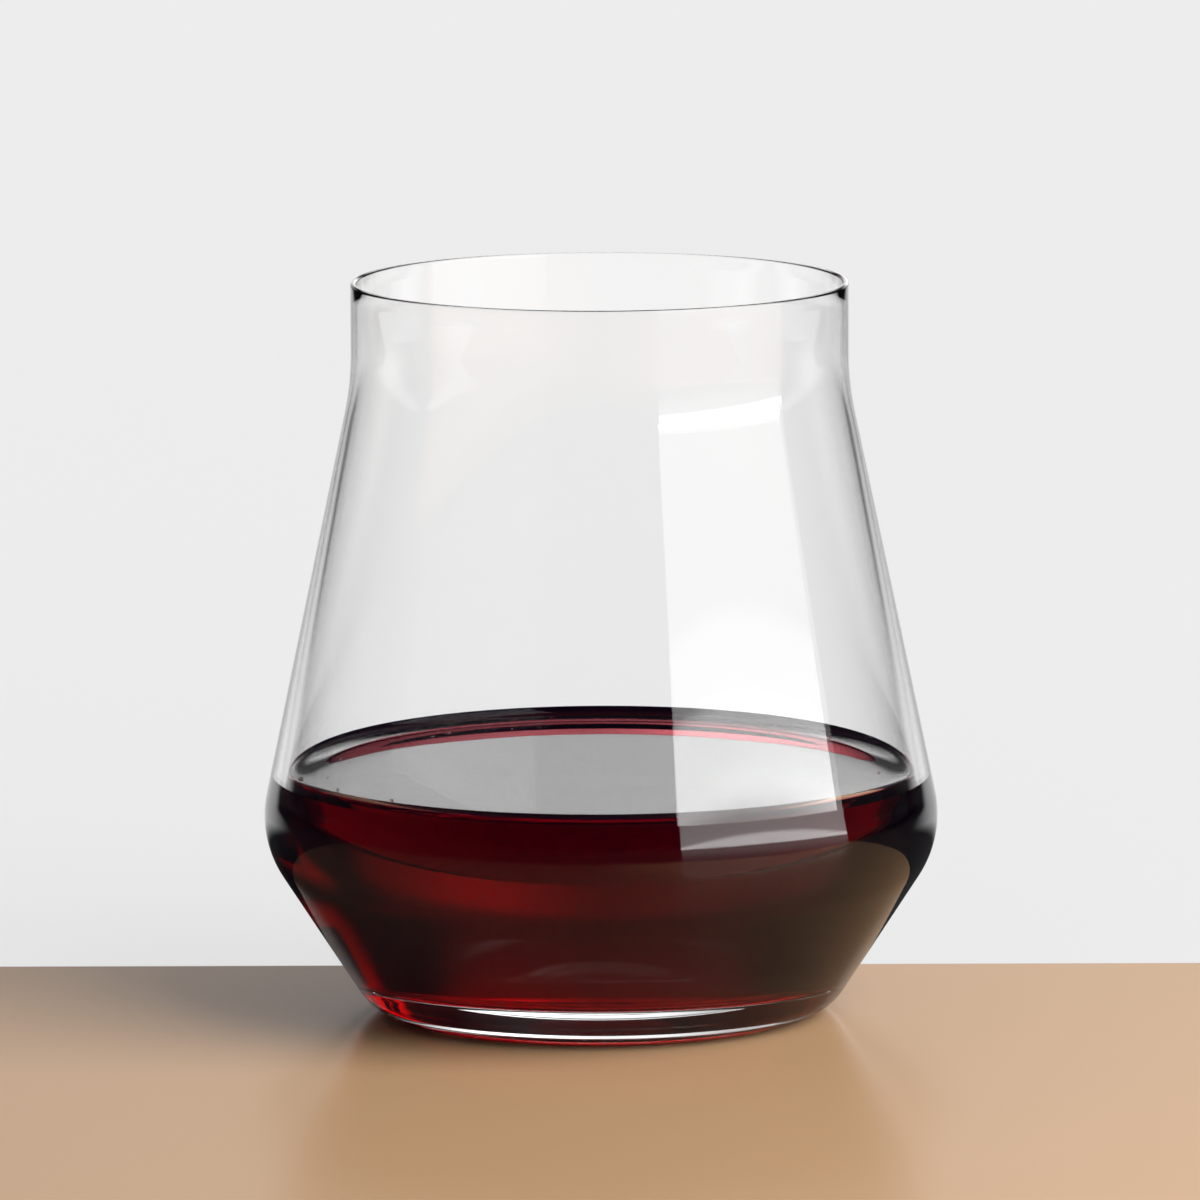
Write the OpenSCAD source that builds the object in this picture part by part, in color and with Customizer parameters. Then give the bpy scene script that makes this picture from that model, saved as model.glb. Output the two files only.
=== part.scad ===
// A stemless wine glass with a measure of red wine in it.
// The glass is one blown piece of clear crystal: a thin upright lip, a shoulder that opens as a cone to
// a wide low belly, a lower cone that draws in to the foot, and a thick base with a shallow hollow under it.
// The wine lies in the bowl, climbs the wall a little all round, and can be swirled about the glass's axis.
// The origin is the middle of the foot on the surface that the glass stands on, and +Z is up.

/* [Glass outside] */
// Height of the glass, from the standing ring to the top of the lip
glass_height = 105; // [95:1:125]
// Outside diameter of the upright band below the lip
lip_diameter = 70.8; // [64:0.2:76]
// Height of the upright band below the lip
lip_band_height = 14.4; // [10:0.2:20]
// Radius of the soft bend between the upright band and the shoulder
shoulder_bend_radius = 40; // [20:1:60]
// Diameter at which the shoulder and the lower cone would meet if the belly had no rounding
belly_diameter = 98.2; // [92:0.2:106]
// Height above the foot of that meeting point
belly_height = 25.4; // [22:0.2:34]
// Radius that rounds the belly
belly_bend_radius = 15; // [8:0.5:20]
// Diameter at which the lower cone would meet the table if the heel had no rounding
foot_diameter = 65.4; // [60:0.2:72]
// Radius that rounds the heel between the lower cone and the standing ring
heel_radius = 7.6; // [5:0.2:12]

/* [Glass walls] */
// Thickness of the wall at the lip
lip_wall = 0.8; // [0.7:0.1:1.4]
// Level thickness of the wall at the bend under the upright band
shoulder_wall = 1.2; // [0.9:0.1:2]
// Level thickness of the wall at the belly
belly_wall = 2.4; // [1.5:0.1:3.5]
// Level thickness of the wall at the height of the floor
floor_wall = 9; // [6:0.2:10]
// Height above the table of the edge of the bowl's floor
floor_height = 7.3; // [5:0.1:9]
// Depth of the dish in the floor, from its edge down to its middle
floor_dish = 1.5; // [0.5:0.1:2.5]
// Radius that rounds the corner between the floor and the wall inside
floor_bend_radius = 4.8; // [3:0.2:8]
// Depth of the shallow hollow under the base
hollow_depth = 0.4; // [0.2:0.1:1.5]
// Width of the flat ring that the glass stands on
ring_width = 2.6; // [1.2:0.1:4]

/* [Wine] */
// Height above the table of the level middle of the wine
wine_level = 33.6; // [24:0.2:60]
// Height that the wine climbs where it touches the wall
meniscus_rise = 2.2; // [1:0.1:3]
// Distance from the wall over which the climb falls to about a third
meniscus_reach = 2.4; // [1.2:0.1:4]
// Clearance all round between the wine and the glass, so that the wine turns freely
wine_clearance = 0.2; // [0.1:0.05:0.4]

/* [Hidden] */

// Straight steps that stand for one bend, the floor's dish, the hollow, the lip and the meniscus
bend_steps = 8;
dish_steps = 6;
hollow_steps = 6;
lip_steps = 6;
meniscus_steps = 9;

// Radii of the outside, from the diameters
lip_r = lip_diameter / 2;
belly_r = belly_diameter / 2;
foot_r = foot_diameter / 2;
band_z = glass_height - lip_band_height;

// A vector of length one along v
function unit(v) = v / norm(v);

// The points of a round bend that takes the place of the corner between two straight runs
function bend(before, corner, after, radius) =
    let (
        back = unit(before - corner),
        on = unit(after - corner),
        half_angle = acos(back * on) / 2,
        centre = corner + unit(back + on) * radius / sin(half_angle),
        first_spoke = corner + back * radius / tan(half_angle) - centre,
        last_spoke = corner + on * radius / tan(half_angle) - centre,
        first_angle = atan2(first_spoke[1], first_spoke[0]),
        turned = atan2(last_spoke[1], last_spoke[0]) - first_angle,
        turn = turned > 180 ? turned - 360 : turned < -180 ? turned + 360 : turned
    )
    [
        for (i = [0:bend_steps])
            let (a = first_angle + turn * i / bend_steps)
            centre + radius * [cos(a), sin(a)]
    ];

// Corners of the outside as [radius, height], from the middle of the foot up to the lip
foot_middle = [0, 0];
foot_corner = [foot_r, 0];
belly_corner = [belly_r, belly_height];
band_corner = [lip_r, band_z];
lip_corner = [lip_r, glass_height];

heel_bend = bend(foot_middle, foot_corner, belly_corner, heel_radius);
belly_bend = bend(foot_corner, belly_corner, band_corner, belly_bend_radius);
shoulder_bend = bend(belly_corner, band_corner, lip_corner, shoulder_bend_radius);

// The flat standing ring ends where the heel's bend begins, and the hollow starts inside it
ring_r = heel_bend[0][0];
hollow_r = ring_r - ring_width;
hollow_curve = [
    for (i = [0:hollow_steps])
        let (out_share = i / hollow_steps)
        [hollow_r * out_share, hollow_depth * (1 - out_share * out_share)]
];

// The rounded top of the lip, from its outer to its inner face
lip_round_r = lip_wall / 2;
lip_middle = [lip_r - lip_round_r, glass_height - lip_round_r];
lip_curve = [
    for (i = [0:lip_steps])
        let (a = 180 * i / lip_steps)
        lip_middle + lip_round_r * [cos(a), sin(a)]
];

// Outside radius of the lower cone at the height of the floor
cone_r_at_floor = foot_r + (belly_r - foot_r) * floor_height / belly_height;

// The inside wall from the lip down to the middle of the floor, set in from the glass by inset.
// With no inset it is the glass's own inner face, and with the clearance it is the skin of the wine.
function inside_wall(inset) =
    let (
        lip_in = [lip_r - lip_wall - inset, glass_height - lip_round_r],
        band_in = [lip_r - shoulder_wall - inset, band_z],
        belly_in = [belly_r - belly_wall - inset, belly_height],
        floor_in = [cone_r_at_floor - floor_wall - inset, floor_height + inset],
        middle_in = [0, floor_height + inset],
        floor_bend = bend(belly_in, floor_in, middle_in, floor_bend_radius),
        dish_r = floor_bend[bend_steps][0]
    )
    concat(
        bend(lip_in, band_in, belly_in, shoulder_bend_radius),
        bend(band_in, belly_in, floor_in, belly_bend_radius - belly_wall),
        floor_bend,
        [
            for (i = [1:dish_steps])
                let (out_share = 1 - i / dish_steps)
                middle_in + [dish_r * out_share, -floor_dish * (1 - out_share * out_share)]
        ]
    );

// The wine's skin, the height at which it leaves the wall, and its radius there
wine_skin = inside_wall(wine_clearance);
contact_z = wine_level + meniscus_rise;
contact_r = lookup(contact_z, [for (p = wine_skin) [p[1], p[0]]]);
wetted_wall = [for (p = wine_skin) if (p[1] < contact_z) p];

// The top of the wine, from the middle out to the wall, climbing more and more steeply.
// The steps are closer together near the wall, where the curve turns most.
function climb(r) = meniscus_rise * exp(-(contact_r - r) / meniscus_reach);
wine_top = [
    for (i = [0:meniscus_steps])
        let (
            in_share = 1 - i / meniscus_steps,
            r = contact_r * (1 - in_share * in_share * in_share)
        )
        [r, wine_level + climb(r)]
];

// The blown glass: lip, shoulder, belly, heel, base and bowl in one piece
module glass() {
    color([0.86, 0.90, 0.91, 0.45])
    rotate_extrude($fn = 96)
    polygon(concat(
        hollow_curve,
        heel_bend,
        belly_bend,
        shoulder_bend,
        lip_curve,
        inside_wall(0)
    ));
}

// The wine, with its raised edge
module red_wine() {
    color([0.33, 0.02, 0.07])
    rotate_extrude($fn = 96)
    polygon(concat(wine_top, wetted_wall));
}

glass();
red_wine();
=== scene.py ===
import math

import bpy
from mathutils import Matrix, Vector


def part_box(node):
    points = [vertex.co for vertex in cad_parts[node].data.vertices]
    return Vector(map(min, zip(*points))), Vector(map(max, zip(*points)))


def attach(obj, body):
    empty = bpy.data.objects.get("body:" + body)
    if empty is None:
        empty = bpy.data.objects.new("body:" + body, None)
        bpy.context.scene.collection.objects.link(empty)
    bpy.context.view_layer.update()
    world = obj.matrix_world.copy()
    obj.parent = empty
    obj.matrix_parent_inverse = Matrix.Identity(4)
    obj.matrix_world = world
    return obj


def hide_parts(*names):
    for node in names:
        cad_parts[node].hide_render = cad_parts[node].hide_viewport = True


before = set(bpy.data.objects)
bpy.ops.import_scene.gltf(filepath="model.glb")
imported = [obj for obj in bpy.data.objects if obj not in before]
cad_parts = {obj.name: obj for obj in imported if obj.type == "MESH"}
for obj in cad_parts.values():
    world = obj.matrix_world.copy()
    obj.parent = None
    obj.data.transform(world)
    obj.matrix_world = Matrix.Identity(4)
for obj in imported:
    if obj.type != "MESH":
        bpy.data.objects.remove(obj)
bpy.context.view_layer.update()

# The camera
# A long lens looks a little down on the glass from across the table, as in the photograph. Its place and
# lens come from fitting the glass's outline and rim, and it leans by a hair as the photograph does.
MM = 0.001
photo_width_px = 1200
focal_length_px = 10212
axis_px = 600.4
camera_distance = 1441 * MM
camera_height = 276.9 * MM
camera_pitch = math.radians(8.593)
camera_lean = math.radians(0.18)

lens = bpy.data.cameras.new("camera")
lens.sensor_width = 36
lens.lens = lens.sensor_width * focal_length_px / photo_width_px
lens.shift_x = (photo_width_px / 2 - axis_px) / photo_width_px
lens.clip_start = 100 * MM
camera = bpy.data.objects.new("camera", lens)
camera.location = 0, -camera_distance, camera_height
camera.rotation_mode = "ZYX"
camera.rotation_euler = math.pi / 2 - camera_pitch, 0, -camera_lean
bpy.context.collection.objects.link(camera)
bpy.context.scene.camera = camera
bpy.context.scene.view_settings.view_transform = "Standard"

# Clear glass with wine in it passes light on many times, and with fewer bounces its edges go black
bpy.context.scene.cycles.max_bounces = 32
bpy.context.scene.cycles.transmission_bounces = 32
bpy.context.scene.cycles.glossy_bounces = 24

# The glass
# One blown piece of clear lead-free crystal: a thin upright lip, a conical shoulder, a low wide belly, a
# lower cone, a rounded heel and a thick base. It is blown in a turned mould, so it is round about Z.
glass_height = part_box("glass")[1][2]
lip_r = 35.4 * MM
lip_band_height = 14.4 * MM
belly_corner_r = 49.1 * MM
belly_corner_height = 25.4 * MM
foot_corner_r = 32.7 * MM
shoulder_bend_radius = 40 * MM
belly_bend_radius = 15 * MM
heel_radius = 7.6 * MM
lip_wall = 0.8 * MM
shoulder_wall = 1.2 * MM
belly_wall = 2.4 * MM
floor_wall = 9 * MM
floor_height = 7.3 * MM
floor_bend_radius = 4.8 * MM
floor_dish = 1.5 * MM
hollow_depth = 0.4 * MM
ring_width = 2.6 * MM
band_height = glass_height - lip_band_height
bend_step = math.radians(2)
bend_least_steps = 4
run_step = 2 * MM
dish_steps = 20
hollow_steps = 14
lip_steps = 14
turn_steps = 256
weld_distance = 0.001 * MM


def bend(before, corner, after, radius):
    """The points of a round bend that takes the place of the corner between two straight runs."""
    before, corner, after = Vector(before), Vector(corner), Vector(after)
    back = (before - corner).normalized()
    on = (after - corner).normalized()
    half_angle = back.angle(on) / 2
    centre = corner + (back + on).normalized() * radius / math.sin(half_angle)
    first = corner + back * radius / math.tan(half_angle) - centre
    turn = first.angle_signed(corner + on * radius / math.tan(half_angle) - centre)
    steps = max(bend_least_steps, round(abs(turn) / bend_step))
    spokes = [math.atan2(first.y, first.x) - turn * i / steps for i in range(steps + 1)]
    return [centre + radius * Vector((math.cos(a), math.sin(a))) for a in spokes]


def with_runs(points):
    """The points again, with every long straight run between them cut into short ones."""
    cut = [points[0]]
    for start, end in zip(points, points[1:]):
        pieces = max(1, math.ceil((end - start).length / run_step))
        cut += [start.lerp(end, i / pieces) for i in range(1, pieces + 1)]
    return cut


def inside_wall(inset):
    """The inner face from the lip to the middle of the floor, or a skin lying that far inside it."""
    cone_r = foot_corner_r + (belly_corner_r - foot_corner_r) * floor_height / belly_corner_height
    lip_in = lip_r - lip_wall - inset, glass_height - lip_wall / 2
    band_in = lip_r - shoulder_wall - inset, band_height
    belly_in = belly_corner_r - belly_wall - inset, belly_corner_height
    floor_in = cone_r - floor_wall - inset, floor_height + inset
    middle_in = 0, floor_height + inset
    corner = bend(belly_in, floor_in, middle_in, floor_bend_radius)
    dish = []
    for i in range(1, dish_steps + 1):
        drop = floor_dish * (1 - (1 - i / dish_steps) ** 2)
        dish.append(corner[-1].lerp(Vector(middle_in), i / dish_steps) - Vector((0, drop)))
    return with_runs(
        [Vector(lip_in)]
        + bend(lip_in, band_in, belly_in, shoulder_bend_radius)
        + bend(band_in, belly_in, floor_in, belly_bend_radius - belly_wall)
        + corner
        + dish
    )


def outside_wall():
    """The outer face from the middle of the hollow under the base up to the lip and round its top."""
    middle, foot_corner = (0, 0), (foot_corner_r, 0)
    belly_corner, band_corner = (belly_corner_r, belly_corner_height), (lip_r, band_height)
    heel = bend(middle, foot_corner, belly_corner, heel_radius)
    hollow_r = heel[0].x - ring_width
    hollow = [
        Vector((hollow_r * i / hollow_steps, hollow_depth * (1 - (i / hollow_steps) ** 2)))
        for i in range(hollow_steps + 1)
    ]
    lip = [
        Vector((lip_r, glass_height)) + lip_wall / 2 * Vector((math.cos(a) - 1, math.sin(a) - 1))
        for a in (math.pi * i / lip_steps for i in range(lip_steps))
    ]
    return with_runs(
        hollow
        + heel
        + bend(foot_corner, belly_corner, band_corner, belly_bend_radius)
        + bend(belly_corner, band_corner, (lip_r, glass_height), shoulder_bend_radius)
        + lip
    )


def add(tree, kind, settings=None, inputs=None):
    """Adds a node to a tree, with its settings, and with its inputs linked to sockets or set to values."""
    node = tree.nodes.new(kind)
    for name, value in (settings or {}).items():
        setattr(node, name, value)
    for socket, value in (inputs or {}).items():
        if isinstance(value, bpy.types.NodeSocket):
            tree.links.new(value, node.inputs[socket])
        else:
            node.inputs[socket].default_value = value
    return node


def shape_tree(name, inputs):
    """A new tree that makes a shape, with these named inputs of these kinds."""
    tree = bpy.data.node_groups.new(name, "GeometryNodeTree")
    for label, kind in inputs.items():
        tree.interface.new_socket(label, in_out="INPUT", socket_type="NodeSocket" + kind)
    tree.interface.new_socket("Geometry", in_out="OUTPUT", socket_type="NodeSocketGeometry")
    return tree, add(tree, "NodeGroupInput").outputs


def shaped_by(piece, tree, values):
    """Gives a piece the shape that a tree makes from these values, as a plain mesh with no modifier."""
    shaping = piece.modifiers.new(tree.name, "NODES")
    shaping.node_group = tree
    for item in tree.interface.items_tree:
        if item.in_out == "INPUT" and item.name in values:
            shaping[item.identifier] = values[item.name]
    seen = piece.evaluated_get(bpy.context.evaluated_depsgraph_get())
    piece.data = bpy.data.meshes.new_from_object(seen)
    piece.modifiers.clear()
    return piece


def lathe_tree():
    """Turns an outline in the XZ plane about Z. It starts at the bottom and goes round anticlockwise, and
    its wet attribute is 1 where wine touches it."""
    inputs = {
        "Outline": "Geometry",
        "Turn steps": "Int",
        "Weld distance": "Float",
        "Dry material": "Material",
        "Wet material": "Material",
    }
    tree, given = shape_tree("lathe", inputs)
    size = add(tree, "GeometryNodeAttributeDomainSize", {"component": "MESH"}, {0: given["Outline"]})
    columns = add(tree, "ShaderNodeMath", {"operation": "ADD"}, {0: given["Turn steps"], 1: 1}).outputs[0]
    grid = add(
        tree,
        "GeometryNodeMeshGrid",
        inputs={"Vertices X": size.outputs["Point Count"], "Vertices Y": columns},
    )
    index = add(tree, "GeometryNodeInputIndex").outputs[0]
    share = add(tree, "ShaderNodeMath", {"operation": "DIVIDE"}, {0: index, 1: columns}).outputs[0]
    point = add(tree, "ShaderNodeMath", {"operation": "FLOOR"}, {0: share}).outputs[0]
    column = add(tree, "ShaderNodeMath", {"operation": "MODULO"}, {0: index, 1: columns}).outputs[0]
    turned = add(
        tree, "ShaderNodeMath", {"operation": "DIVIDE"}, {0: column, 1: given["Turn steps"]}
    ).outputs[0]
    angle = add(tree, "ShaderNodeMath", {"operation": "MULTIPLY"}, {0: turned, 1: 2 * math.pi}).outputs[0]
    place = add(
        tree,
        "GeometryNodeSampleIndex",
        {"data_type": "FLOAT_VECTOR", "domain": "POINT"},
        {0: given["Outline"], "Index": point, "Value": add(tree, "GeometryNodeInputPosition").outputs[0]},
    )
    turn = add(
        tree,
        "ShaderNodeVectorRotate",
        {"rotation_type": "Z_AXIS"},
        {"Vector": place.outputs[0], "Angle": angle},
    )
    wet_points = add(
        tree, "GeometryNodeInputNamedAttribute", {"data_type": "FLOAT"}, {"Name": "wet"}
    ).outputs["Attribute"]
    wet = add(
        tree,
        "GeometryNodeSampleIndex",
        {"data_type": "FLOAT", "domain": "POINT"},
        {0: given["Outline"], "Index": point, "Value": wet_points},
    )
    kept = add(
        tree,
        "GeometryNodeStoreNamedAttribute",
        {"data_type": "FLOAT", "domain": "POINT"},
        {"Geometry": grid.outputs["Mesh"], "Name": "wet", "Value": wet.outputs[0]},
    )
    turned_faces = add(
        tree, "GeometryNodeSetPosition", inputs={"Geometry": kept.outputs[0], "Position": turn.outputs[0]}
    )
    outward = add(tree, "GeometryNodeFlipFaces", inputs={0: turned_faces.outputs[0]})
    welded = add(
        tree,
        "GeometryNodeMergeByDistance",
        inputs={"Geometry": outward.outputs[0], "Distance": given["Weld distance"]},
    )
    smooth = add(tree, "GeometryNodeSetShadeSmooth", inputs={0: welded.outputs[0]})
    whole = add(tree, "GeometryNodeRealizeInstances", inputs={0: smooth.outputs[0]})
    dry = add(
        tree,
        "GeometryNodeSetMaterial",
        inputs={"Geometry": whole.outputs[0], "Material": given["Dry material"]},
    )
    nearly_whole = 0.99
    all_wet = add(
        tree,
        "FunctionNodeCompare",
        {"data_type": "FLOAT", "operation": "GREATER_THAN"},
        {0: wet_points, 1: nearly_whole},
    )
    both = add(
        tree,
        "GeometryNodeSetMaterial",
        inputs={
            "Geometry": dry.outputs[0],
            "Selection": all_wet.outputs[0],
            "Material": given["Wet material"],
        },
    )
    add(tree, "NodeGroupOutput", inputs={0: both.outputs[0]})
    return tree


lathe = lathe_tree()


def turned_piece(name, outline, wet, dry_material, wet_material):
    """A piece turned from (radius, height) points. wet says of each whether wine touches it."""
    mesh = bpy.data.meshes.new(name)
    mesh.from_pydata([(p.x, 0, p.y) for p in outline], [(i, i + 1) for i in range(len(outline) - 1)], [])
    mesh.attributes.new("wet", "FLOAT", "POINT").data.foreach_set("value", [float(w) for w in wet])
    piece = bpy.data.objects.new(name, mesh)
    bpy.context.collection.objects.link(piece)
    values = {
        "Turn steps": turn_steps,
        "Weld distance": weld_distance,
        "Dry material": dry_material,
        "Wet material": wet_material,
    }
    return shaped_by(piece, lathe, values)


def linear(hex_colour):
    """The linear colour of an sRGB hex value."""
    parts = [int(hex_colour[i : i + 2], 16) / 255 for i in (0, 2, 4)]
    return *(p / 12.92 if p <= 0.04045 else ((p + 0.055) / 1.055) ** 2.4 for p in parts), 1


def new_material(name):
    """A new material's tree, emptied, with its output node."""
    material = bpy.data.materials.new(name)
    material.use_nodes = True
    material.node_tree.nodes.clear()
    return material, material.node_tree, add(material.node_tree, "ShaderNodeOutputMaterial")


# Blown crystal, fire polished: clear as water with no grain, so that only its edges and its reflections
# show. Where wine wets it, light passes from glass to wine, which bends it far less than air does.
crystal_ior = 1.52
wine_ior = 1.34


def crystal(name, ior):
    """Clear crystal that bends light by this much against what lies on its other side."""
    material, tree, out = new_material(name)
    clear = add(
        tree,
        "ShaderNodeBsdfPrincipled",
        inputs={
            "Base Color": linear("FFFFFF"),
            "Roughness": 0,
            "IOR": ior,
            "Transmission Weight": 1,
        },
    )
    tree.links.new(clear.outputs[0], out.inputs["Surface"])
    return material


dry_crystal = crystal("blown_crystal", crystal_ior)
wet_crystal = crystal("blown_crystal_wetted_by_wine", crystal_ior / wine_ior)

# The wine fills the bowl to this level and climbs the wall by a little all round. Its edge ends nearly
# along the wall, because wine wets glass.
wine_level = 33.6 * MM
edge_scale = 1.45 * MM
edge_slope = math.radians(98)
contact_height = wine_level + 2 * edge_scale * math.sin(edge_slope / 2)

inner = inside_wall(0)
inner_wet = [p.y <= contact_height for p in inner]
outer = outside_wall()
glass = turned_piece(
    "glass_blown_crystal",
    outer + inner,
    [False] * len(outer) + inner_wet,
    dry_crystal,
    wet_crystal,
)
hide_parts("glass")
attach(glass, "glass")

# The wine
# A usual pour, 136 ml of deep red wine. It is clear but strongly coloured, so it glows bright red where it
# is thin and is nearly black through the middle of the bowl. Its top is a flat mirror with a raised edge.
skin_gap = 0.02 * MM
top_steps = 60
flat_slope = 0.001
skin = inside_wall(skin_gap)
wetted_skin = [p for p in skin if p.y < contact_height]
above = skin[len(skin) - len(wetted_skin) - 1]
below = wetted_skin[0]
contact_r = below.x + (above.x - below.x) * (contact_height - below.y) / (above.y - below.y)


def edge_run(slope):
    """How far in from a fixed line the wine's edge stands where its surface has this slope."""
    return -edge_scale * (math.log(math.tan(slope / 4)) + 2 * math.cos(slope / 2))


edge_slopes = [edge_slope * (1 - i / top_steps) + flat_slope * i / top_steps for i in range(top_steps + 1)]
wine_top = [
    Vector((
        contact_r + edge_run(edge_slope) - edge_run(slope),
        wine_level + 2 * edge_scale * math.sin(slope / 2),
    ))
    for slope in edge_slopes
]
wine_top.append(Vector((0, wine_level)))

# Red wine: the pigment takes out green and blue within a few millimetres and lets red through for
# centimetres. A faint purple glow is painted into its skin, far too weak to light anything, and brings its
# darkest red to crimson.
pigment_colour = "F96883"
pigment_density = 797
painted_glow_colour = "8000B8"
painted_glow_strength = 0.0034


def wine_surface(name, ior):
    """Wine with a mirror-smooth skin that bends light by this much against what lies on its other side."""
    material, tree, out = new_material(name)
    clear = add(
        tree,
        "ShaderNodeBsdfPrincipled",
        inputs={
            "Base Color": linear("FFFFFF"),
            "Roughness": 0,
            "IOR": ior,
            "Transmission Weight": 1,
            # Painted glow: the skin gives off a faint purple light of its own
            "Emission Color": linear(painted_glow_colour),
            "Emission Strength": painted_glow_strength,
        },
    )
    dark = add(
        tree,
        "ShaderNodeVolumeAbsorption",
        inputs={"Color": linear(pigment_colour), "Density": pigment_density},
    )
    tree.links.new(clear.outputs[0], out.inputs["Surface"])
    tree.links.new(dark.outputs[0], out.inputs["Volume"])
    return material


wine_in_air = wine_surface("red_wine", wine_ior)
wine_at_glass = wine_surface("red_wine_against_the_glass", 1)
wine = turned_piece(
    "red_wine_pour",
    wetted_skin[::-1] + wine_top,
    [True] * len(wetted_skin) + [i == 0 for i in range(len(wine_top))],
    wine_in_air,
    wine_at_glass,
)
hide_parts("red_wine")
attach(wine, "wine")

# The bubbles
# A few tiny bubbles of air that the pour left, each under a thin film of wine. They drift on the wine, most
# of them in its raised edge, and the small ones are the most common.
bubble_count = 40
bubble_least_r = 0.15 * MM
bubble_greatest_r = 0.36 * MM
bubble_edge_gap = 0.6 * MM
bubble_spread = 9 * MM
bubble_climb = 0.94 * MM
bubble_seed = 11
seed_step = 7
edge_crowding = 3
small_crowding = 2
ball_subdivisions = 2


def bubble_tree():
    """Scatters small balls over a ring of the wine's top, more of them towards its edge."""
    inputs = {
        "Count": "Int",
        "Ring radius": "Float",
        "Spread": "Float",
        "Level": "Float",
        "Climb": "Float",
        "Least radius": "Float",
        "Greatest radius": "Float",
        "Seed": "Int",
        "Material": "Material",
    }
    tree, given = shape_tree("bubbles", inputs)
    dots = add(tree, "GeometryNodePoints", inputs={"Count": given["Count"]}).outputs[0]
    index = add(tree, "GeometryNodeInputIndex").outputs[0]
    chances = []
    for part in range(3):
        shift = part * seed_step
        seed = add(tree, "ShaderNodeMath", {"operation": "ADD"}, {0: given["Seed"], 1: shift}).outputs[0]
        chance = add(tree, "FunctionNodeRandomValue", {"data_type": "FLOAT"}, {"ID": index, "Seed": seed})
        chances.append(chance.outputs[1])
    near = add(tree, "ShaderNodeMath", {"operation": "POWER"}, {0: chances[0], 1: edge_crowding}).outputs[0]
    inward = add(
        tree, "ShaderNodeMath", {"operation": "MULTIPLY"}, {0: near, 1: given["Spread"]}
    ).outputs[0]
    ring = given["Ring radius"]
    reach = add(tree, "ShaderNodeMath", {"operation": "SUBTRACT"}, {0: ring, 1: inward}).outputs[0]
    drop = add(tree, "ShaderNodeMath", {"operation": "DIVIDE"}, {0: inward, 1: -edge_scale}).outputs[0]
    rise = add(tree, "ShaderNodeMath", {"operation": "EXPONENT"}, {0: drop}).outputs[0]
    height = add(
        tree,
        "ShaderNodeMath",
        {"operation": "MULTIPLY_ADD"},
        {0: rise, 1: given["Climb"], 2: given["Level"]},
    ).outputs[0]
    start = add(tree, "ShaderNodeCombineXYZ", inputs={"X": reach, "Z": height}).outputs[0]
    angle = add(
        tree, "ShaderNodeMath", {"operation": "MULTIPLY"}, {0: chances[1], 1: 2 * math.pi}
    ).outputs[0]
    place = add(
        tree, "ShaderNodeVectorRotate", {"rotation_type": "Z_AXIS"}, {"Vector": start, "Angle": angle}
    )
    placed = add(tree, "GeometryNodeSetPosition", inputs={"Geometry": dots, "Position": place.outputs[0]})
    ball = add(tree, "GeometryNodeMeshIcoSphere", inputs={"Radius": 1, "Subdivisions": ball_subdivisions})
    small = add(
        tree, "ShaderNodeMath", {"operation": "POWER"}, {0: chances[2], 1: small_crowding}
    ).outputs[0]
    size = add(
        tree,
        "ShaderNodeMapRange",
        inputs={"Value": small, "To Min": given["Least radius"], "To Max": given["Greatest radius"]},
    ).outputs[0]
    spread = add(
        tree,
        "GeometryNodeInstanceOnPoints",
        inputs={"Points": placed.outputs[0], "Instance": ball.outputs[0], "Scale": size},
    )
    whole = add(tree, "GeometryNodeRealizeInstances", inputs={0: spread.outputs[0]})
    smooth = add(tree, "GeometryNodeSetShadeSmooth", inputs={0: whole.outputs[0]})
    done = add(
        tree,
        "GeometryNodeSetMaterial",
        inputs={"Geometry": smooth.outputs[0], "Material": given["Material"]},
    )
    add(tree, "NodeGroupOutput", inputs={0: done.outputs[0]})
    return tree


# A film of wine round air: clear, with the bright point and dark rim of a tiny lens
bubble_film, tree, out = new_material("wine_bubble_film")
film = add(
    tree,
    "ShaderNodeBsdfPrincipled",
    inputs={"Base Color": linear("FFE9EC"), "Roughness": 0, "IOR": wine_ior, "Transmission Weight": 1},
)
tree.links.new(film.outputs[0], out.inputs["Surface"])
bubbles = bpy.data.objects.new("red_wine_bubbles", bpy.data.meshes.new("red_wine_bubbles"))
bpy.context.collection.objects.link(bubbles)
scatter = {
    "Count": bubble_count,
    "Ring radius": contact_r - bubble_edge_gap,
    "Spread": bubble_spread,
    "Level": wine_level,
    "Climb": bubble_climb,
    "Least radius": bubble_least_r,
    "Greatest radius": bubble_greatest_r,
    "Seed": bubble_seed,
    "Material": bubble_film,
}
shaped_by(bubbles, bubble_tree(), scatter)
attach(bubbles, "wine")

# The floor
# A plain board under a thin coat of wax, warm where the glass stands and pale from just behind the foot on,
# where the photograph shows the backdrop. The camera and clear glass see that part as a pale backdrop.
floor_size = 12.0
floor_split = 33 * MM
split_blur = 0.3 * MM
half = floor_size / 2
floor_corners = [(-half, -half, 0), (half, -half, 0), (half, half, 0), (-half, half, 0)]
floor_mesh = bpy.data.meshes.new("floor")
floor_mesh.from_pydata(floor_corners, [], [(0, 1, 2, 3)])
floor = bpy.data.objects.new("floor", floor_mesh)
bpy.context.collection.objects.link(floor)

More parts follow.
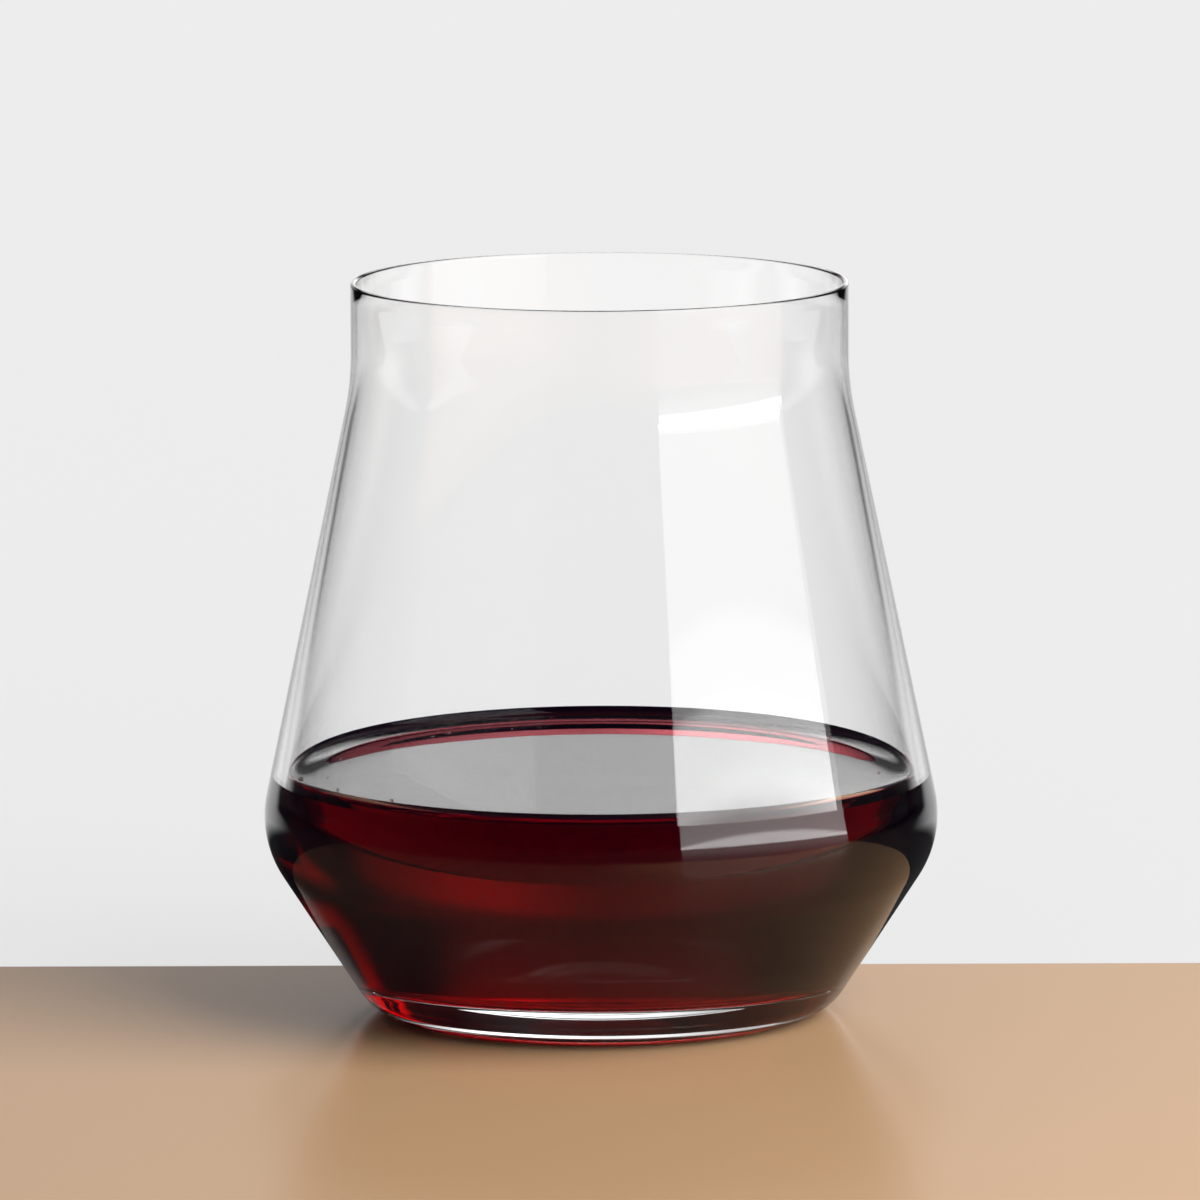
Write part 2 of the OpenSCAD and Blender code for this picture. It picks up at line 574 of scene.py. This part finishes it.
# Waxed board: matt, with a soft sheen that grows as the eye comes lower
board_colour = "BC9772"
pale_board_colour = "C4C4C4"
wax_roughness = 0.22
wax_ior = 1.5
wax_share = 0.42
material, tree, out = new_material("waxed_board")
where = add(tree, "ShaderNodeTexCoord").outputs["Object"]
along = add(tree, "ShaderNodeSeparateXYZ", inputs={0: where}).outputs
unsigned = add(tree, "ShaderNodeVectorMath", {"operation": "ABSOLUTE"}, {0: where}).outputs[0]
aside = add(tree, "ShaderNodeSeparateXYZ", inputs={0: unsigned}).outputs
distance = add(tree, "ShaderNodeVectorMath", {"operation": "LENGTH"}, {0: where}).outputs["Value"]
path = add(tree, "ShaderNodeLightPath").outputs
far = add(
    tree,
    "ShaderNodeMapRange",
    inputs={"Value": along["Y"], "From Min": floor_split - split_blur, "From Max": floor_split + split_blur},
).outputs[0]

# The backdrop shows in lanes that lead away from the glass to the back and to both sides. Beside them clear
# glass meets the dim studio, which draws its edges.
lane_slope = 0.07
lane_edges = 0.22, 0.38
side_lane_start = 0.45


def lane(tree, ahead, across, start):
    """How far a place lies inside a lane that begins at start and widens slowly on its way, 0 to 1."""
    across = add(tree, "ShaderNodeMath", {"operation": "ABSOLUTE"}, {0: across}).outputs[0]
    slant = add(
        tree, "ShaderNodeMath", {"operation": "MULTIPLY_ADD"}, {0: ahead, 1: -lane_slope, 2: across}
    ).outputs[0]
    within = add(
        tree,
        "ShaderNodeMapRange",
        {"interpolation_type": "SMOOTHSTEP"},
        {"Value": slant, "From Min": lane_edges[0], "From Max": lane_edges[1], "To Min": 1, "To Max": 0},
    ).outputs[0]
    begun = add(
        tree,
        "ShaderNodeMapRange",
        inputs={"Value": ahead, "From Min": start, "From Max": start + 2 * split_blur},
    ).outputs[0]
    return add(tree, "ShaderNodeMath", {"operation": "MULTIPLY"}, {0: within, 1: begun}).outputs[0]


back_lane = lane(tree, along["Y"], along["X"], floor_split)
side_lane = lane(tree, aside["X"], along["Y"], side_lane_start)
lanes = add(tree, "ShaderNodeMath", {"operation": "MAXIMUM"}, {0: back_lane, 1: side_lane}).outputs[0]

# Light crosses four faces of glass on its way through both clear walls, and more where wine is between them
wall_crossings = 4
wine_crossings = 8


def unturned(tree, path, crossings, emitting=0):
    """1 for light that has come straight through the glass, with no reflection and at most this many
    faces. A lamp or the world counts one step more than a surface does, so there emitting is 1."""
    turns = add(
        tree,
        "ShaderNodeMath",
        {"operation": "SUBTRACT"},
        {0: path["Ray Depth"], 1: path["Transmission Depth"]},
    ).outputs[0]
    straight = add(
        tree, "ShaderNodeMath", {"operation": "LESS_THAN"}, {0: turns, 1: emitting + 0.5}
    ).outputs[0]
    few = add(
        tree,
        "ShaderNodeMath",
        {"operation": "LESS_THAN"},
        {0: path["Transmission Depth"], 1: crossings + 0.5},
    ).outputs[0]
    return add(tree, "ShaderNodeMath", {"operation": "MULTIPLY"}, {0: straight, 1: few}).outputs[0]


# Each change over the floor: what it follows, where it begins and ends, and its value at both ends
fan_root = 0.1
fan = add(tree, "ShaderNodeMath", {"operation": "ADD"}, {0: aside["Y"], 1: fan_root}).outputs[0]
fan = add(tree, "ShaderNodeMath", {"operation": "DIVIDE"}, {0: aside["X"], 1: fan}).outputs[0]
change = {}
for name, follows, begin, end, before, after in (
    ("past the foot", distance, 0.10, 0.15, 0, 1),
    ("shade", along["X"], -0.02, 0.09, 0.55, 0),
    ("fan", fan, 0.5, 0.95, 1, 0),
    ("fan begun", aside["Y"], 0.10, 0.16, 0, 1),
    ("clear", aside["Y"], 0.08, 0.20, 0, 1),
    ("open", distance, 0.35, 0.70, 0, 1),
    ("even", distance, 0.18, 0.34, 0, 1.1),
):
    change[name] = add(
        tree,
        "ShaderNodeMapRange",
        {"interpolation_type": "SMOOTHSTEP"},
        {"Value": follows, "From Min": begin, "From Max": end, "To Min": before, "To Max": after},
    ).outputs[0]

# Painted shade: light that glass has turned aside finds the floor dim, nearly black at the back, and on the
# left near the glass a dark plum that is painted there as the wine's red shadow
far_painted_dark = 0.93
painted_wine_shadow_colour = "2C1430"
through_walls = unturned(tree, path, wall_crossings)
through_wine = unturned(tree, path, wine_crossings)
through_wine = add(
    tree, "ShaderNodeMath", {"operation": "MULTIPLY"}, {0: through_wine, 1: change["past the foot"]}
).outputs[0]
plain = add(
    tree, "ShaderNodeMath", {"operation": "MAXIMUM"}, {0: through_walls, 1: through_wine}
).outputs[0]
turned = add(tree, "ShaderNodeMath", {"operation": "SUBTRACT"}, {0: 1, 1: plain}).outputs[0]
dim = add(
    tree, "ShaderNodeMix", {"data_type": "FLOAT"}, {0: far, 2: change["shade"], 3: far_painted_dark}
).outputs[0]
for share in path["Is Glossy Ray"], turned:
    dim = add(tree, "ShaderNodeMath", {"operation": "MULTIPLY"}, {0: dim, 1: share}).outputs[0]
lit_colour = add(
    tree,
    "ShaderNodeMix",
    {"data_type": "RGBA"},
    {0: far, 6: linear(board_colour), 7: linear(pale_board_colour)},
).outputs[2]
# The painted shade's colour: the wine's plum shadow near the glass, black further off
painted_shade_colour = add(
    tree, "ShaderNodeMix", {"data_type": "RGBA"}, {0: far, 6: linear(painted_wine_shadow_colour), 7: linear("000000")}
).outputs[2]
colour = add(
    tree, "ShaderNodeMix", {"data_type": "RGBA"}, {0: dim, 6: lit_colour, 7: painted_shade_colour}
).outputs[2]
matt = add(tree, "ShaderNodeBsdfDiffuse", inputs={"Color": colour}).outputs[0]
wax = add(
    tree, "ShaderNodeBsdfGlossy", inputs={"Color": linear("FFFFFF"), "Roughness": wax_roughness}
).outputs[0]
mirroring = add(tree, "ShaderNodeFresnel", inputs={"IOR": wax_ior}).outputs[0]
near = add(
    tree, "ShaderNodeMath", {"operation": "MULTIPLY_ADD"}, {0: far, 1: -wax_share, 2: wax_share}
).outputs[0]
sheen = add(tree, "ShaderNodeMath", {"operation": "MULTIPLY"}, {0: near, 1: mirroring}).outputs[0]
waxed = add(tree, "ShaderNodeMixShader", inputs={0: sheen, 1: matt, 2: wax}).outputs[0]

# The backdrop is a little duller near the glass, and a little brighter through it
dull_depth = 0.06
dull_reach = 0.4
through_gain = 0.16
backdrop_share = 0.85
further = add(tree, "ShaderNodeMath", {"operation": "ADD"}, {0: distance, 1: dull_reach}).outputs[0]
falling = add(tree, "ShaderNodeMath", {"operation": "DIVIDE"}, {0: -dull_depth, 1: further}).outputs[0]
brightness = add(tree, "ShaderNodeMath", {"operation": "ADD"}, {0: falling, 1: 1}).outputs[0]
gain = add(
    tree,
    "ShaderNodeMath",
    {"operation": "MULTIPLY_ADD"},
    {0: path["Is Transmission Ray"], 1: through_gain, 2: 1},
).outputs[0]
brightness = add(tree, "ShaderNodeMath", {"operation": "MULTIPLY"}, {0: brightness, 1: gain}).outputs[0]
pale = add(tree, "ShaderNodeMath", {"operation": "MAXIMUM"}, {0: far, 1: lanes}).outputs[0]
glow_colour = add(
    tree, "ShaderNodeMix", {"data_type": "RGBA"}, {0: pale, 6: linear(board_colour), 7: linear("FFFFFF")}
).outputs[2]
glow = add(tree, "ShaderNodeEmission", inputs={"Color": glow_colour, "Strength": brightness}).outputs[0]

# Who sees the backdrop: the camera and clear walls, the mirror of the wine in a fan behind and before the
# glass, and what lies behind the base. Further off the floor is even, so that the lamp doesn't burn it out.
mirrored = change["fan"]
for share in change["fan begun"], path["Is Glossy Ray"]:
    mirrored = add(tree, "ShaderNodeMath", {"operation": "MULTIPLY"}, {0: mirrored, 1: share}).outputs[0]
clear = add(
    tree, "ShaderNodeMath", {"operation": "MULTIPLY"}, {0: change["clear"], 1: path["Is Transmission Ray"]}
).outputs[0]
seen = through_walls
for share in mirrored, clear:
    seen = add(tree, "ShaderNodeMath", {"operation": "MAXIMUM"}, {0: seen, 1: share}).outputs[0]
glowing = add(tree, "ShaderNodeMath", {"operation": "MULTIPLY"}, {0: seen, 1: lanes}).outputs[0]
wide = add(
    tree, "ShaderNodeMath", {"operation": "MULTIPLY"}, {0: change["open"], 1: through_walls}
).outputs[0]
wide = add(tree, "ShaderNodeMath", {"operation": "MAXIMUM"}, {0: wide, 1: path["Is Camera Ray"]}).outputs[0]
wide = add(tree, "ShaderNodeMath", {"operation": "MULTIPLY"}, {0: wide, 1: far}).outputs[0]
even = add(
    tree, "ShaderNodeMath", {"operation": "MULTIPLY"}, {0: change["even"], 1: through_walls}
).outputs[0]
even = add(tree, "ShaderNodeMath", {"operation": "SUBTRACT"}, {0: even, 1: far}).outputs[0]
for share in wide, even:
    glowing = add(tree, "ShaderNodeMath", {"operation": "MAXIMUM"}, {0: glowing, 1: share}).outputs[0]
glowing = add(tree, "ShaderNodeMath", {"operation": "MULTIPLY"}, {0: glowing, 1: backdrop_share}).outputs[0]
both = add(tree, "ShaderNodeMixShader", inputs={0: glowing, 1: waxed, 2: glow})
tree.links.new(both.outputs[0], out.inputs["Surface"])
floor_mesh.materials.append(material)

# The light
# A soft dome overhead, a bright backdrop behind the glass and a tall soft box at the front right, whose
# reflection is the pale strip down the glass. The rest of the studio is dim, which gives it dark edges.
world = bpy.data.worlds.new("studio")
bpy.context.scene.world = world
world.use_nodes = True
tree = world.node_tree
tree.nodes.clear()
direction = add(tree, "ShaderNodeTexCoord").outputs["Generated"]
facing = add(tree, "ShaderNodeSeparateXYZ", inputs={0: direction}).outputs
path = add(tree, "ShaderNodeLightPath").outputs
dome_axis = 0.15, 0.30, 0.94
upward = add(
    tree, "ShaderNodeVectorMath", {"operation": "DOT_PRODUCT"}, {0: direction, 1: dome_axis}
).outputs["Value"]

# Each change over the studio: what it follows, where it begins and ends, and its value at both ends
change = {}
for name, follows, begin, end, before, after in (
    ("backdrop", facing["Y"], 0.86, 0.95, 0.03, 1.3),
    ("backdrop top", facing["Z"], 0.21, 0.165, 0.15, 1),
    ("backdrop left", facing["X"], -0.32, -0.05, 0.45, 1),
    ("dome", upward, 0.35, 0.60, 0, 0.25),
    ("low through wine", facing["Z"], 0.08, 0.15, 0, -0.55),
    ("round the sides", facing["Y"], 0.30, -0.10, 0, 0.9),
):
    change[name] = add(
        tree,
        "ShaderNodeMapRange",
        {"interpolation_type": "SMOOTHSTEP"},
        {"Value": follows, "From Min": begin, "From Max": end, "To Min": before, "To Max": after},
    ).outputs[0]

# In glass, the dome keeps only a part of its strength. Soft patches of light join the backdrop: a low one
# just right of the middle, a wide high one that only glass shows, and one at the back right for wine only.
dome_left = 0.35
spot_strength = 2.3
spot_edges = [("X", -0.02, 0.17), ("X", 0.36, 0.17), ("Z", -0.10, 0.03), ("Z", 0.20, 0.05), ("Y", 0.8, 0.9)]
high_strength = 3.3
high_edges = [("X", -0.42, -0.30), ("X", 0.42, 0.30), ("Z", 0.27, 0.39), ("Z", 0.68, 0.54), ("Y", 0.45, 0.6)]
side_strength = 3.4
side_edges = [("X", 0.50, 0.62), ("X", 0.96, 0.88), ("Y", 0.16, 0.30), ("Z", 0.14, 0.24), ("Z", 0.62, 0.50)]
unscattered = add(
    tree, "ShaderNodeMath", {"operation": "LESS_THAN"}, {0: path["Diffuse Depth"], 1: 0.5}
).outputs[0]
in_glass = add(
    tree, "ShaderNodeMath", {"operation": "MULTIPLY"}, {0: unscattered, 1: path["Is Glossy Ray"]}
).outputs[0]
many = add(
    tree,
    "ShaderNodeMath",
    {"operation": "GREATER_THAN"},
    {0: path["Transmission Depth"], 1: wall_crossings + 0.5},
).outputs[0]
in_wine = add(tree, "ShaderNodeMath", {"operation": "MULTIPLY"}, {0: many, 1: in_glass}).outputs[0]
bright = change["backdrop"]
for share in change["backdrop top"], change["backdrop left"]:
    bright = add(tree, "ShaderNodeMath", {"operation": "MULTIPLY"}, {0: bright, 1: share}).outputs[0]
for strength, edges, shown_by in (
    (spot_strength, spot_edges, 1),
    (high_strength, high_edges, in_glass),
    (side_strength, side_edges, in_wine),
):
    patch = add(tree, "ShaderNodeMath", {"operation": "MULTIPLY"}, {0: strength, 1: shown_by}).outputs[0]
    for axis, dark, lit in edges:
        share = add(
            tree,
            "ShaderNodeMapRange",
            {"interpolation_type": "SMOOTHSTEP"},
            {"Value": facing[axis], "From Min": dark, "From Max": lit},
        ).outputs[0]
        patch = add(tree, "ShaderNodeMath", {"operation": "MULTIPLY"}, {0: patch, 1: share}).outputs[0]
    bright = add(tree, "ShaderNodeMath", {"operation": "ADD"}, {0: bright, 1: patch}).outputs[0]
dome_share = add(
    tree, "ShaderNodeMath", {"operation": "MULTIPLY_ADD"}, {0: in_glass, 1: dome_left - 1, 2: 1}
).outputs[0]
dome = add(tree, "ShaderNodeMath", {"operation": "MULTIPLY"}, {0: change["dome"], 1: dome_share}).outputs[0]
bright = add(tree, "ShaderNodeMath", {"operation": "MAXIMUM"}, {0: bright, 1: dome}).outputs[0]

# Straight through the wine, the studio is dimmer high up at the back, and pale at the sides and the front
through_wine = unturned(tree, path, wine_crossings, 1)
dimming = add(
    tree,
    "ShaderNodeMath",
    {"operation": "MULTIPLY_ADD"},
    {0: change["low through wine"], 1: through_wine, 2: 1},
).outputs[0]
bright = add(tree, "ShaderNodeMath", {"operation": "MULTIPLY"}, {0: bright, 1: dimming}).outputs[0]
around = change["round the sides"]
for share in through_wine, path["Is Transmission Ray"]:
    around = add(tree, "ShaderNodeMath", {"operation": "MULTIPLY"}, {0: around, 1: share}).outputs[0]
bright = add(tree, "ShaderNodeMath", {"operation": "MAXIMUM"}, {0: bright, 1: around}).outputs[0]

# The camera sees an even pale studio, and so does all that looks straight through the clear walls
even_strength = 0.92
straight = unturned(tree, path, wall_crossings, 1)
straight = add(
    tree, "ShaderNodeMath", {"operation": "MULTIPLY"}, {0: straight, 1: path["Is Transmission Ray"]}
).outputs[0]
direct = add(
    tree, "ShaderNodeMath", {"operation": "MAXIMUM"}, {0: path["Is Camera Ray"], 1: straight}
).outputs[0]
shown = add(
    tree, "ShaderNodeMix", {"data_type": "FLOAT"}, {0: direct, 2: bright, 3: even_strength}
).outputs[0]
air = add(tree, "ShaderNodeBackground", inputs={"Color": linear("FFFFFF"), "Strength": shown})
add(tree, "ShaderNodeOutputWorld", inputs={0: air.outputs[0]})


def lamp(name, azimuth, distance, width, height, slant, plain, strengths):
    """An upright panel of light that stands on the floor, faces the glass and lights it with one plain
    strength. Clear glass shows it with strengths, pairs of a height and the strength there. The height
    counts slant times more for each metre across the panel."""
    azimuth = math.radians(azimuth)
    across = Vector((math.cos(azimuth), math.sin(azimuth), 0))
    middle = Vector((math.sin(azimuth), -math.cos(azimuth), 0)) * distance
    left, right = middle - across * width / 2, middle + across * width / 2
    top = Vector((0, 0, height))
    mesh = bpy.data.meshes.new(name)
    mesh.from_pydata([left, left + top, right + top, right], [], [(0, 1, 2, 3)])
    panel = bpy.data.objects.new(name, mesh)
    panel.visible_camera = False
    bpy.context.collection.objects.link(panel)
    material, tree, out = new_material(name + "_cloth")
    place = add(tree, "ShaderNodeTexCoord").outputs["Object"]
    upward = slant * across + Vector((0, 0, 1))
    up = add(
        tree, "ShaderNodeVectorMath", {"operation": "DOT_PRODUCT"}, {0: place, 1: upward}
    ).outputs["Value"]
    strength = strengths[0][1]
    for (start, before), (end, after) in zip(strengths, strengths[1:]):
        step = add(
            tree,
            "ShaderNodeMapRange",
            {"interpolation_type": "SMOOTHSTEP"},
            {"Value": up, "From Min": start, "From Max": end, "To Min": 0, "To Max": after - before},
        ).outputs[0]
        strength = add(tree, "ShaderNodeMath", {"operation": "ADD"}, {0: strength, 1: step}).outputs[0]
    path = add(tree, "ShaderNodeLightPath").outputs
    unscattered = add(
        tree, "ShaderNodeMath", {"operation": "LESS_THAN"}, {0: path["Diffuse Depth"], 1: 0.5}
    ).outputs[0]
    in_glass = add(
        tree, "ShaderNodeMath", {"operation": "MULTIPLY"}, {0: unscattered, 1: path["Is Glossy Ray"]}
    ).outputs[0]
    total = add(
        tree, "ShaderNodeMix", {"data_type": "FLOAT"}, {0: in_glass, 2: plain, 3: strength}
    ).outputs[0]
    cloth = add(tree, "ShaderNodeEmission", inputs={"Color": linear("FFFFFF"), "Strength": total})
    tree.links.new(cloth.outputs[0], out.inputs["Surface"])
    mesh.materials.append(material)


# The soft box, as heights in metres and strengths: its foot is dim, and the hem of its cloth is brightest
key_strength = 6.3
box_strengths = [
    (0, 0.4),
    (0.108, 1.2),
    (0.119, 8),
    (0.132, 8),
    (0.137, 3.0),
    (0.148, 2.7),
    (0.156, 1.4),
    (0.2, 1.4),
    (0.3, 1.8),
    (1.2, 2.2),
]
lamp(
    "soft_box",
    azimuth=58,
    distance=0.6,
    width=0.74,
    height=1.2,
    slant=0.1,
    plain=key_strength,
    strengths=box_strengths,
)
